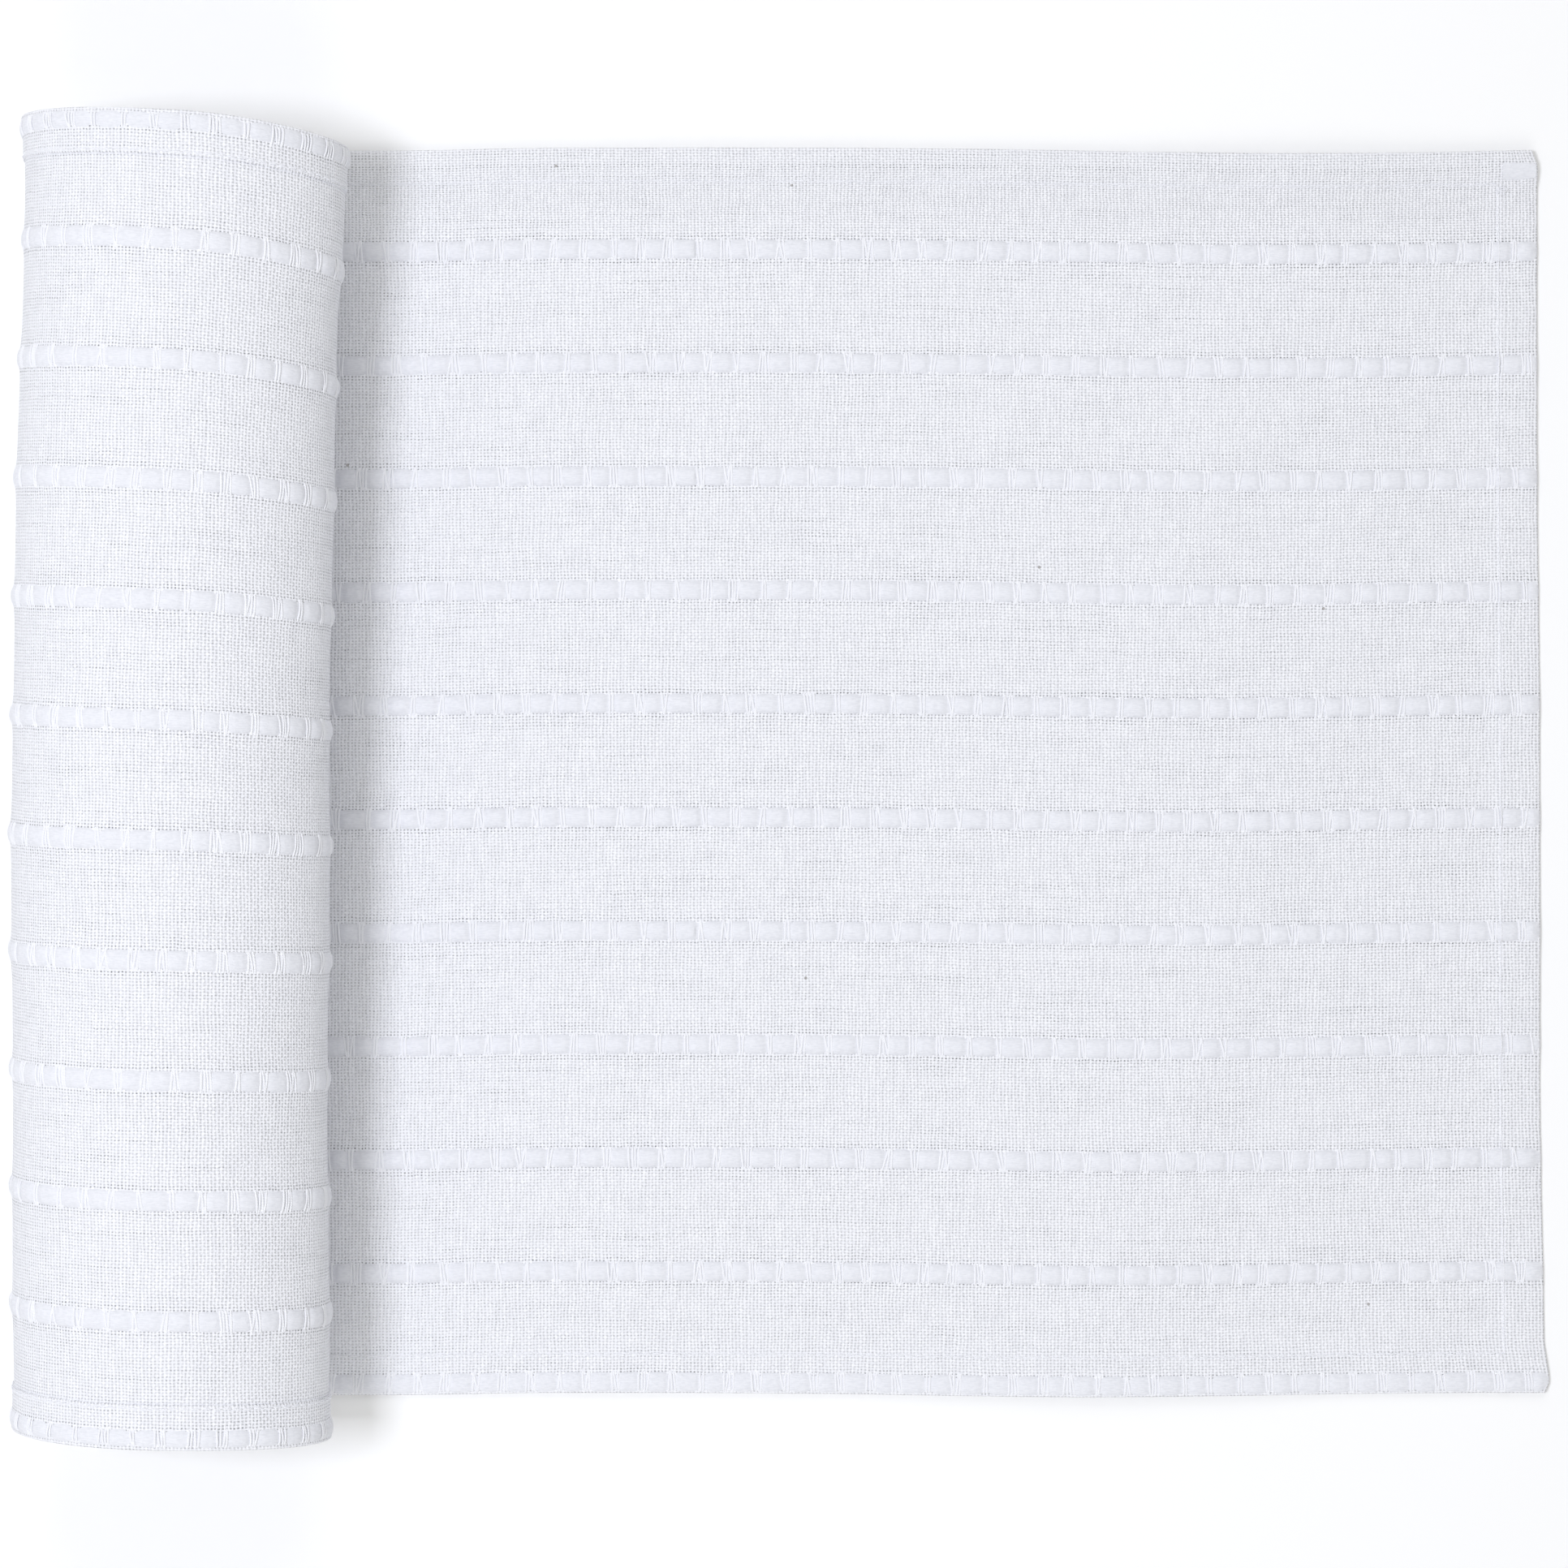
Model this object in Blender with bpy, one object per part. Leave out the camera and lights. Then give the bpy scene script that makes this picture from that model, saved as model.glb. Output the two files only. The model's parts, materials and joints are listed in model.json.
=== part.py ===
"""Table runner: a cotton cloth with thick roving yarns, partly rolled up.

The cloth lies flat along +X and its other end is wound into a loose oval roll.
+X runs along the length to the free end, +Y across the width, +Z up.
The origin is the centre of the whole object's footprint, on the table.
All sizes are in metres.
"""
import math

import bmesh
import bpy

# ---- driving dimensions -------------------------------------------------
CLOTH_LENGTH = 1.829        # the whole runner, unrolled
TURNS = 9.0932              # how often the rolled part goes round
CORE_WIDTH = 0.0357         # the roll's hollow middle, along X
CORE_HEIGHT = 0.0090        # and along Z

CLOTH_THICK = 0.0006        # ground cloth, one layer
HEM_THICK = 0.0006          # the layer that a hem turns under
SIDE_HEM_WIDTH = 0.012      # from the side fold to the hem's inner edge
END_HEM_WIDTH = 0.012       # from the end fold to the hem's inner edge
SIDE_SHIFT = 0.00575        # the flat stretch lies this far to +Y of the roll
BACK_HEM_TUCK = 0.00595     # the back side hem is turned this much deeper there

YARN_COUNT = 10             # yarns in the open cloth, without the two at the folds
YARN_PITCH = 0.0325         # from one yarn to the next
EDGE_SPACE = 0.03455        # from the outermost open yarn to the side fold
YARN_WIDTH = 0.0058
YARN_THICK = 0.0009         # what stands proud of the cloth
YARN_TOP_SHARE = 0.62       # width of the yarn's top, as a share of its foot
THREAD_WIDTH = 0.0007       # sewing thread
THREAD_THICK = 0.0003
STITCH_INSET = 0.0010       # from a hem's inner edge out to its stitch line

CONTACT_GAP = 0.0003        # between pieces that touch
AIR_SHARE = 5 / 24          # air between turns, as a share of what lies between them
LIFT_SPACE = 0.0200         # from the roll's side to the bend where the flat stretch lifts
DRAPE_LENGTH = 0.1600       # from the free end to the bend where it hangs or folds back
FEATHER = 0.0001            # height left where a hem layer fades out

FINE_STEPS = 16             # stations in each outer turn
COARSE_STEPS = 8            # stations in each inner turn
FINE_TURNS = 1.25
MIN_STEP = 0.01             # stations closer than this share of a turn are joined

# ---- sizes that follow --------------------------------------------------
CLOTH_WIDTH = (YARN_COUNT - 1) * YARN_PITCH + 2 * EDGE_SPACE
HALF_CLOTH = CLOTH_THICK / 2
CLOTH_Z = HALF_CLOTH + HEM_THICK                # middle of the cloth when it lies flat
YARN_FOOT = HALF_CLOTH + CONTACT_GAP
YARN_TOP = YARN_FOOT + YARN_THICK
LAYER_PITCH = (CLOTH_Z + YARN_TOP) * (1 + AIR_SHARE)    # from one turn of the roll to the next
HINGE_SLOT = HALF_CLOTH + CONTACT_GAP / 2       # from a bend's axis to the cloth's edge
HINGE_SETBACK = YARN_TOP + CONTACT_GAP          # from a bend's axis to its hems and yarns

ROLL_FRONT = -CLOTH_WIDTH / 2
ROLL_BACK = CLOTH_WIDTH / 2
FLAT_FRONT = ROLL_FRONT + SIDE_SHIFT
FLAT_BACK = ROLL_BACK + SIDE_SHIFT - BACK_HEM_TUCK
EDGE_YARN_INSET = CONTACT_GAP + YARN_WIDTH / 2  # from the side fold to its yarn's middle
HEM_START = EDGE_YARN_INSET + YARN_WIDTH / 2 + CONTACT_GAP


# ---- the cloth's path, seen from the side -------------------------------
class Station:
    """A point of the path with its direction towards the upper face and the roll's share."""

    def __init__(self, x, z, nx=0.0, nz=1.0, rolled=0.0):
        self.x, self.z, self.nx, self.nz, self.rolled = x, z, nx, nz, rolled

    def point(self, y, n):
        """World point at width y and height n above the cloth's middle."""
        return (self.x + n * self.nx, y, self.z + n * self.nz)

    def across(self, flat_y, roll_y):
        """Width that changes from its value on the flat stretch to its value on the roll."""
        return flat_y + (roll_y - flat_y) * self.rolled


def distance(p, q):
    return math.hypot(q.x - p.x, q.z - p.z)


class Roll:
    """Oval spiral wound on the core; turn 0 is its underside, a quarter turn its far left."""

    def __init__(self, turns):
        self.turns = turns
        self.x, self.z = 0.0, 0.0
        self.wound_length = self.length_to(turns)
        flat_stretch = CLOTH_LENGTH - self.wound_length
        self.laid_length = flat_stretch + self.half_width(0.25) + CLOTH_Z
        self.x = self.laid_length / 2 - flat_stretch
        self.z = CLOTH_Z + self.half_height(0.0)

    def half_width(self, turn):
        return CORE_WIDTH / 2 + CLOTH_Z + LAYER_PITCH * (self.turns - turn)

    def half_height(self, turn):
        return CORE_HEIGHT / 2 + CLOTH_Z + LAYER_PITCH * (self.turns - turn)

    def station(self, turn):
        """Station on the smooth spiral."""
        angle = 2 * math.pi * turn
        a, b = self.half_width(turn), self.half_height(turn)
        shrink = LAYER_PITCH / (2 * math.pi)
        tx = -a * math.cos(angle) + shrink * math.sin(angle)
        tz = b * math.sin(angle) + shrink * math.cos(angle)
        if turn == 0:
            tx, tz = -1.0, 0.0
        size = math.hypot(tx, tz)
        share = min(2 * turn, 1.0)
        rolled = share * share * (3 - 2 * share)
        x = self.x - a * math.sin(angle)
        z = self.z - b * math.cos(angle)
        return Station(x, z, tz / size, -tx / size, rolled)

    def facet(self, turn):
        """Station on the straight facet between the spiral's neighbouring stations."""
        steps = FINE_STEPS if turn < FINE_TURNS else COARSE_STEPS
        low = math.floor(turn * steps)
        p, q = self.station(low / steps), self.station((low + 1) / steps)
        t = turn * steps - low
        values = [getattr(p, name) * (1 - t) + getattr(q, name) * t
                  for name in ("x", "z", "nx", "nz", "rolled")]
        return Station(*values)

    def between(self, first, last):
        """The spiral's own stations that lie clearly between two turns."""
        turns, turn = [], 0.0
        while turn < last - MIN_STEP:
            if turn > first + MIN_STEP:
                turns.append(turn)
            turn += 1 / FINE_STEPS if turn < FINE_TURNS else 1 / COARSE_STEPS
        return turns

    def length_to(self, turn):
        """Length of the cloth along the facets, from the underside to a turn."""
        stations = [self.facet(t) for t in [0.0] + self.between(0.0, turn) + [turn]]
        return sum(distance(p, q) for p, q in zip(stations, stations[1:]))

    def turn_before_end(self, length):
        """Turn at a length of cloth before the inner end."""
        low, high = 0.0, self.turns
        for _ in range(30):
            middle = (low + high) / 2
            if self.length_to(middle) < self.wound_length - length:
                low = middle
            else:
                high = middle
        return low


# ---- making closed solids -----------------------------------------------
def solid(name, rings, material):
    """One closed body skinned over rings of points, with a flat cap at each end."""
    mesh = bpy.data.meshes.new(name)
    bm = bmesh.new()
    rows = [[bm.verts.new(p) for p in ring] for ring in rings]
    count = len(rows[0])
    for here, there in zip(rows, rows[1:]):
        for i in range(count):
            j = (i + 1) % count
            bm.faces.new((here[i], here[j], there[j], there[i]))
    bm.faces.new(rows[0][::-1])
    bm.faces.new(rows[-1])
    bmesh.ops.recalc_face_normals(bm, faces=bm.faces)
    bmesh.ops.triangulate(bm, faces=bm.faces)
    bm.to_mesh(mesh)
    bm.free()
    mesh.materials.append(material)
    ob = bpy.data.objects.new(name, mesh)
    bpy.context.scene.collection.objects.link(ob)
    return ob


def ribbon(name, stations, ys, width, thick, top_share, material):
    """A yarn or thread along the cloth's upper face: a low strip, narrower at its top."""
    half, foot = width / 2, YARN_FOOT
    rings = []
    for s in stations:
        y = s.across(*ys)
        ring = [s.point(y - half, foot), s.point(y + half, foot)]
        if top_share > 0:
            ring += [s.point(y + half * top_share, foot + thick)]
            ring += [s.point(y - half * top_share, foot + thick)]
        else:
            ring += [s.point(y, foot + thick)]
        rings.append(ring)
    return solid(name, rings, material)


def cloth_ring(station, side_hem, middle_hem=0.0, fold_hem=0.0):
    """Section of the cloth across its width, with the layers that the hems turn under.

    side_hem, middle_hem and fold_hem are the extra layer's height under the side hem, under the
    open cloth and under the outermost strip that holds the yarn of the side fold.
    """
    front = station.across(FLAT_FRONT, ROLL_FRONT)
    back = station.across(FLAT_BACK, ROLL_BACK)
    under = -HALF_CLOTH
    profile = [
        (front, HALF_CLOTH), (back, HALF_CLOTH),
        (back, under - fold_hem), (back - HEM_START, under - fold_hem),
        (back - HEM_START, under - side_hem), (back - SIDE_HEM_WIDTH, under - side_hem),
        (back - SIDE_HEM_WIDTH, under - middle_hem), (front + SIDE_HEM_WIDTH, under - middle_hem),
        (front + SIDE_HEM_WIDTH, under - side_hem), (front + HEM_START, under - side_hem),
        (front + HEM_START, under - fold_hem), (front, under - fold_hem),
    ]
    return [station.point(y, n) for y, n in profile]


def end_hem_ring(station):
    return cloth_ring(station, HEM_THICK - FEATHER, HEM_THICK, HEM_THICK - 2 * FEATHER)


def stitch_line(name, station, rows, front, back, material):
    """Sewing thread of an end hem: it runs across the width and climbs over every yarn."""
    low, high = YARN_FOOT, YARN_TOP + CONTACT_GAP
    rise = YARN_WIDTH / 2 + 3 * CONTACT_GAP
    crest = YARN_WIDTH / 2 - CONTACT_GAP
    points = [(front + HEM_START, low)]
    for ys in rows:
        y = station.across(*ys)
        points += [(y - rise, low), (y - crest, high), (y + crest, high), (y + rise, low)]
    points.append((back - HEM_START, low))
    half = THREAD_WIDTH / 2
    size = math.hypot(station.nx, station.nz)
    along = (-station.nz * half / size, station.nx * half / size)
    rings = []
    for y, n in points:
        ring = []
        for side, lift in ((-1, 0), (1, 0), (1, THREAD_THICK), (-1, THREAD_THICK)):
            x, _, z = station.point(y, n + lift)
            ring.append((x + side * along[0], y, z + side * along[1]))
        rings.append(ring)
    return solid(name, rings, material)


# ---- materials ----------------------------------------------------------
def cotton(name, colour, roughness):
    material = bpy.data.materials.new(name)
    material.use_nodes = True
    shader = material.node_tree.nodes["Principled BSDF"]
    shader.inputs["Base Color"].default_value = (*colour, 1.0)
    shader.inputs["Roughness"].default_value = roughness
    shader.inputs["Metallic"].default_value = 0.0
    return material


# ---- the runner ---------------------------------------------------------
def yarn_rows():
    """Each yarn's width position on the flat stretch and on the roll, front to back."""
    inner = [(i - (YARN_COUNT - 1) / 2) * YARN_PITCH for i in range(YARN_COUNT)]
    rows = [(FLAT_FRONT + EDGE_YARN_INSET, ROLL_FRONT + EDGE_YARN_INSET)]
    rows += [(y + SIDE_SHIFT, y) for y in inner]
    rows += [(FLAT_BACK - EDGE_YARN_INSET, ROLL_BACK - EDGE_YARN_INSET)]
    return rows


def flat(*xs):
    return [Station(x, CLOTH_Z) for x in xs]


def make_cloth(material, wound, inner_hem, lift, drape, end_x):
    """The ground cloth, one woven piece that is cut into three panels at its two bends."""
    end_hem = end_x - END_HEM_WIDTH
    rings = [cloth_ring(s, FEATHER) for s in flat(lift - HINGE_SLOT)]
    rings += [cloth_ring(s, HEM_THICK) for s in flat(lift - HINGE_SETBACK) + wound]
    rings += [end_hem_ring(s) for s in inner_hem]
    solid("cloth_roll", rings, material)
    rings = [cloth_ring(s, FEATHER) for s in flat(lift + HINGE_SLOT)]
    rings += [cloth_ring(s, HEM_THICK) for s in flat(lift + HINGE_SETBACK, drape - HINGE_SETBACK)]
    rings += [cloth_ring(s, FEATHER) for s in flat(drape - HINGE_SLOT)]
    solid("cloth_near", rings, material)
    rings = [end_hem_ring(s) for s in flat(end_x, end_hem)]
    rings += [cloth_ring(s, HEM_THICK) for s in flat(end_hem - HEM_THICK, drape + HINGE_SETBACK)]
    rings += [cloth_ring(s, FEATHER) for s in flat(drape + HINGE_SLOT)]
    solid("cloth_end", rings, material)


def main():
    for ob in list(bpy.data.objects):
        bpy.data.objects.remove(ob, do_unlink=True)

    ground = cotton("ground_cotton", (0.80, 0.82, 0.86), 0.9)
    roving = cotton("roving_cotton", (0.88, 0.89, 0.92), 0.9)
    sewing = cotton("sewing_cotton", (0.90, 0.91, 0.93), 0.7)

    roll = Roll(TURNS)
    end_x = roll.laid_length / 2
    lift = roll.x + roll.half_width(0.75) + CLOTH_Z + LIFT_SPACE
    drape = end_x - DRAPE_LENGTH

    hem_turn = roll.turn_before_end(END_HEM_WIDTH)
    wound = [roll.facet(t) for t in [0.0] + roll.between(0.0, hem_turn) + [hem_turn]]
    inner_hem = [roll.facet(t) for t in roll.between(hem_turn, roll.turns) + [roll.turns]]
    make_cloth(ground, wound, inner_hem, lift, drape, end_x)

    # What lies on the cloth is cut at the same two bends.
    stitch_x = end_x - END_HEM_WIDTH + STITCH_INSET
    stretches = {
        "roll": flat(lift - HINGE_SETBACK) + wound,
        "near": flat(lift + HINGE_SETBACK, drape - HINGE_SETBACK),
        "end": flat(drape + HINGE_SETBACK, stitch_x - THREAD_WIDTH / 2 - CONTACT_GAP),
    }
    yarn_stretches = dict(stretches)
    yarn_stretches["roll"] = stretches["roll"] + inner_hem
    yarn_stretches["end"] = flat(drape + HINGE_SETBACK, end_x - CONTACT_GAP)
    rows = yarn_rows()
    for i, ys in enumerate(rows, 1):
        for part, stations in yarn_stretches.items():
            ribbon(f"yarn_{i:02d}_{part}", stations, ys,
                   YARN_WIDTH, YARN_THICK, YARN_TOP_SHARE, roving)

    # Side-hem threads, then the stitch lines of the two end hems.
    inset = SIDE_HEM_WIDTH - STITCH_INSET
    sides = {"front": (FLAT_FRONT + inset, ROLL_FRONT + inset),
             "back": (FLAT_BACK - inset, ROLL_BACK - inset)}
    for side, ys in sides.items():
        for part, stations in stretches.items():
            ribbon(f"side_hem_thread_{side}_{part}", stations, ys,
                   THREAD_WIDTH, THREAD_THICK, 0.0, sewing)
    stitch_line("end_hem_thread_outer", flat(stitch_x)[0], rows[1:-1],
                FLAT_FRONT, FLAT_BACK, sewing)
    inner_stitch = roll.facet(roll.turn_before_end(END_HEM_WIDTH - STITCH_INSET))
    stitch_line("end_hem_thread_inner", inner_stitch, rows[1:-1],
                ROLL_FRONT, ROLL_BACK, sewing)


main()
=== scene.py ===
# %% [markdown]
# # A rolled cotton table runner
#
# The runner is one woven cloth with thick, soft yarns along its length. Most of it is wound up, and
# its outer end lies flat. Each piece here is made on the unrolled cloth first, where everything is
# straight, and one function then lays it on the table and winds it up. That keeps the weave, the
# yarns and the stitches in step with each other, however the cloth bends.

import json
import math

import bpy
import numpy as np
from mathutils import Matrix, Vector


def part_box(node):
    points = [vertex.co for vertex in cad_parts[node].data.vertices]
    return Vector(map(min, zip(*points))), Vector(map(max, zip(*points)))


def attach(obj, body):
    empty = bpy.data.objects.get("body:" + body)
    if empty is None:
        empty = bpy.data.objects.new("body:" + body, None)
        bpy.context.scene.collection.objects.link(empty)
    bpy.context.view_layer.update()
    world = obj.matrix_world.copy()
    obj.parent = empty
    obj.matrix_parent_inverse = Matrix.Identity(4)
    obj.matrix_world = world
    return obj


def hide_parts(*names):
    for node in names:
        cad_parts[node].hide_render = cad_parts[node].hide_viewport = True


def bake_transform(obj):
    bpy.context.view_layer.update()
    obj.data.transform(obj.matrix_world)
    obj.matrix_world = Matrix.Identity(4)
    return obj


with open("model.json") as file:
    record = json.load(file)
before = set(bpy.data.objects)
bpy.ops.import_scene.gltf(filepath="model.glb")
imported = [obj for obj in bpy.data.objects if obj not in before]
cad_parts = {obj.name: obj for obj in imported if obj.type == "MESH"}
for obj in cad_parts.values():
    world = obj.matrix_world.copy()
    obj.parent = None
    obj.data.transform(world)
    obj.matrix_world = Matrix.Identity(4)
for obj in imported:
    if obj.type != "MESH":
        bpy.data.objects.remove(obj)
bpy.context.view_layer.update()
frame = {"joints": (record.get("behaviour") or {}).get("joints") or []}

# %% [markdown]
# ## Sizes
#
# The places come from the frame's own parts, so the looks always fit what moves. Only sizes that no
# part shows, such as the spacing of the woven threads, are set here. All values are in metres.

# %% Places read from the frame
JOINTS = {j["name"]: j for j in frame["joints"]}
LIFT_X = JOINTS["lift_bend"]["pos_m"][0]
DRAPE_X = JOINTS["drape_bend"]["pos_m"][0]
CLOTH_Z = JOINTS["lift_bend"]["pos_m"][2]
ROLL_LOW, ROLL_HIGH = (np.array(c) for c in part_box("cloth_roll"))
NEAR_LOW, NEAR_HIGH = (np.array(c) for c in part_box("cloth_near"))
END_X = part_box("cloth_end")[1].x
HALF_WIDTH = ROLL_HIGH[1]
SIDE_SHIFT = NEAR_LOW[1] - ROLL_LOW[1]
BACK_TUCK = ROLL_HIGH[1] + SIDE_SHIFT - NEAR_HIGH[1]
SEAM_X = (LIFT_X + DRAPE_X) / 2
YARN_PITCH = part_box("yarn_03_near")[0].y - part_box("yarn_02_near")[0].y
print("free end at", round(END_X, 4), "half width", round(HALF_WIDTH, 4))
print("yarn pitch", round(YARN_PITCH, 4))

# %% Sizes of the cloth, yarns and threads
CLOTH_LENGTH = 1.829
LIFT_SPACE = 0.020          # from the roll's side to the bend
LAYER_PITCH = 0.0029        # from one turn of the roll to the next
CLOTH_THICK = 0.00042
HEM_WIDTH = 0.012
HEM_GAP = 0.00045           # between the middles of a hem's two layers
FOLD_RADIUS = 0.00040       # at the free end, where the hem turns under
END_LIFT = 0.0004           # the free end stands this much higher, on its own hem
YARN_HALF = 0.0029
BLOCK_PITCH = 0.0081        # from one group of tie threads to the next
TIE_PITCH = 0.00086
TIE_WIDTH = 0.00031         # half the width of a tie thread, which is pressed flat
TIE_THICK = 0.00022
STITCH_PITCH = 0.0028
STITCH_RADIUS = 0.00020
WARP_PITCH = 0.00100        # threads across the runner, counted along it
WEFT_PITCH = 0.00086        # threads along the runner, counted across it

# %% [markdown]
# ## Camera, floor and light
#
# The camera looks straight down from a little over a metre. One soft lamp stands a little to the
# left of straight up, so that the roll throws a narrow soft shadow to its right. Two wide lamps and
# an even light from all round, as from a white tent, do the rest.

# %% Camera
CAMERA_HEIGHT = 1.09
SENSOR = 36.0
FIELD = 0.4493              # width of the table that the picture takes in
camera_data = bpy.data.cameras.new("camera")
camera_data.sensor_width = SENSOR
camera_data.lens = SENSOR * CAMERA_HEIGHT / FIELD
camera = bpy.data.objects.new("camera", camera_data)
camera.location = (-0.0002, -0.0011, CAMERA_HEIGHT)
bpy.context.scene.collection.objects.link(camera)
bpy.context.scene.camera = camera
bpy.context.scene.view_settings.view_transform = "Standard"
print("lens", round(camera_data.lens, 1), "mm")

# %% Floor, lamp and surrounding light
KEY_TILT = math.radians(22)
KEY_DISTANCE = 1.7
FILL_TILT = math.radians(50)
FILL_DISTANCE = 2.0
KEY_SIZE = 0.42             # side of the square lamp
KEY_POWER = 12.9            # watts
KEY_COLOUR = (0.90, 0.92, 1.0)
FILL_SIZE = 1.2
FILL_POWER = 6.6
FILL_COLOUR = (1.0, 1.0, 0.985)
TENT_STRENGTH = 0.50        # light from all round
FLOOR_HALF = 3.0            # half the floor's side
FLOOR_DROP = 0.0002         # the floor lies this much below the runner
FLOOR_WHITE = (0.97, 0.97, 0.97, 1)


def make_floor():
    """A square that is far larger than the view, in plain white."""
    mesh = bpy.data.meshes.new("floor")
    far = FLOOR_HALF
    corners = [(-far, -far, 0), (far, -far, 0), (far, far, 0), (-far, far, 0)]
    mesh.from_pydata(corners, [], [(0, 1, 2, 3)])
    material = bpy.data.materials.new("white_table")
    material.use_nodes = True
    shader = material.node_tree.nodes["Principled BSDF"]
    shader.inputs["Base Color"].default_value = FLOOR_WHITE
    shader.inputs["Roughness"].default_value = 0.9
    shader.inputs["Specular IOR Level"].default_value = 0.1
    mesh.materials.append(material)
    floor = bpy.data.objects.new("floor", mesh)
    floor.location.z = -FLOOR_DROP
    bpy.context.scene.collection.objects.link(floor)


def make_lamp(name, x_tilt, y_tilt, distance, size, power, colour):
    """A square lamp that looks at the origin, tilted from straight up to the left and to the back."""
    data = bpy.data.lights.new(name, "AREA")
    data.size, data.energy, data.color = size, power, colour
    lamp = bpy.data.objects.new(name, data)
    up = math.cos(x_tilt) * math.cos(y_tilt)
    lamp.location = (-distance * math.sin(x_tilt), distance * math.sin(y_tilt), distance * up)
    lamp.rotation_euler = (-y_tilt, -x_tilt, 0)
    bpy.context.scene.collection.objects.link(lamp)


make_floor()
make_lamp("key", KEY_TILT, 0, KEY_DISTANCE, KEY_SIZE, KEY_POWER, KEY_COLOUR)
make_lamp("back_fill", 0, FILL_TILT, FILL_DISTANCE, FILL_SIZE, FILL_POWER, FILL_COLOUR)
make_lamp("front_fill", 0, -FILL_TILT, FILL_DISTANCE, FILL_SIZE, FILL_POWER, FILL_COLOUR)
world = bpy.data.worlds.new("tent")
world.use_nodes = True
world.node_tree.nodes["Background"].inputs["Color"].default_value = (*FILL_COLOUR, 1)
world.node_tree.nodes["Background"].inputs["Strength"].default_value = TENT_STRENGTH
bpy.context.scene.world = world

# %% [markdown]
# ## The path of the cloth
#
# Seen from the side, the cloth runs straight from the free end to under the roll and then follows an
# oval spiral inwards. A point of the path is found by the length of cloth from the free end. The
# spiral's length has no simple formula, so it is summed up over many short steps once, and lengths
# are then looked up in that sum.

# %% The spiral
FULL_TURN = 2 * math.pi
HALF_A = (LIFT_X - LIFT_SPACE - ROLL_LOW[0] + LAYER_PITCH) / 2 - CLOTH_Z
HALF_B = (ROLL_HIGH[2] + LAYER_PITCH / 2) / 2 - CLOTH_Z
ROLL_X = ROLL_LOW[0] + CLOTH_Z + HALF_A - LAYER_PITCH / 4
ROLL_Z = CLOTH_Z + HALF_B
FLAT_LENGTH = END_X - ROLL_X
MOST_TURNS = 9.4            # a little more than the cloth fills
TURN_STEPS = 1000           # short steps in each turn, for the sum


def spiral(turn):
    """Oval with half axes that shrink by the layer pitch each turn, from the underside to the left."""
    a, b = HALF_A - LAYER_PITCH * turn, HALF_B - LAYER_PITCH * turn
    angle = FULL_TURN * turn
    return ROLL_X - a * np.sin(angle), ROLL_Z - b * np.cos(angle)


many_turns = np.linspace(0, MOST_TURNS, round(MOST_TURNS * TURN_STEPS) + 1)
spiral_x, spiral_z = spiral(many_turns)
spiral_length = np.concatenate([[0], np.cumsum(np.hypot(np.diff(spiral_x), np.diff(spiral_z)))])
print("roll middle", round(ROLL_X, 4), round(ROLL_Z, 4))
print("cloth in 9 turns", round(spiral_length[9 * TURN_STEPS], 3))


def turn_at(u):
    """Turns wound at a length from the free end, by looking the length up in the spiral's sum."""
    return np.interp(u - FLAT_LENGTH, spiral_length, many_turns)


def path(u):
    """Middle of the cloth and its upper side's direction, at a length from the free end."""
    turn = turn_at(u)
    angle = FULL_TURN * turn
    a, b = HALF_A - LAYER_PITCH * turn, HALF_B - LAYER_PITCH * turn
    shrink = LAYER_PITCH / FULL_TURN * np.minimum(turn * 8, 1)
    tx = -a * np.cos(angle) + shrink * np.sin(angle)
    tz = b * np.sin(angle) + shrink * np.cos(angle)
    size = np.hypot(tx, tz)
    x, z = spiral(turn)
    wound = u > FLAT_LENGTH
    x = np.where(wound, x, END_X - u)
    z = np.where(wound, z, CLOTH_Z)
    return x, z, np.where(wound, tz / size, 0.0), np.where(wound, -tx / size, 1.0), turn


# %% [markdown]
# ## How the cloth lies
#
# Real cloth is never quite flat or square. The flat stretch has one shallow ripple across it, its
# yarns bow with that ripple, the free corner flares a little, and the cloth sinks slightly between
# its thick yarns. Each of these is a small formula, and all of them are added in one place.

# %% Ripples, bow and flare
BOW = 0.0018                # the yarns' sideways bend where the ripple is
RIPPLE = 0.0016             # height of the shallow ripple
SAG = 0.00032               # the cloth between two yarns sinks this much
HEM_RISE = 0.00030          # the side hems lie this much higher
BACK_RISE = 0.0010          # and the back one, with its yarn beneath it, this much more
FLARE_REACH = 0.05          # the flare of the free end fades over this length


def smooth(t):
    """Rises from 0 to 1 with level ends: three squares less two cubes."""
    t = np.clip(t, 0, 1)
    return t * t * (3 - 2 * t)


def hill(t):
    """A bell: the exponential of minus the square."""
    return np.exp(-t * t)


def from_yarn(w):
    """Distance across the cloth to the nearest yarn; the yarns lie half a pitch off the middle."""
    inner = np.abs((w / YARN_PITCH) % 1 - 0.5) * YARN_PITCH
    return np.where(np.abs(w) > 5 * YARN_PITCH, HALF_WIDTH - np.abs(w), inner)


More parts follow.
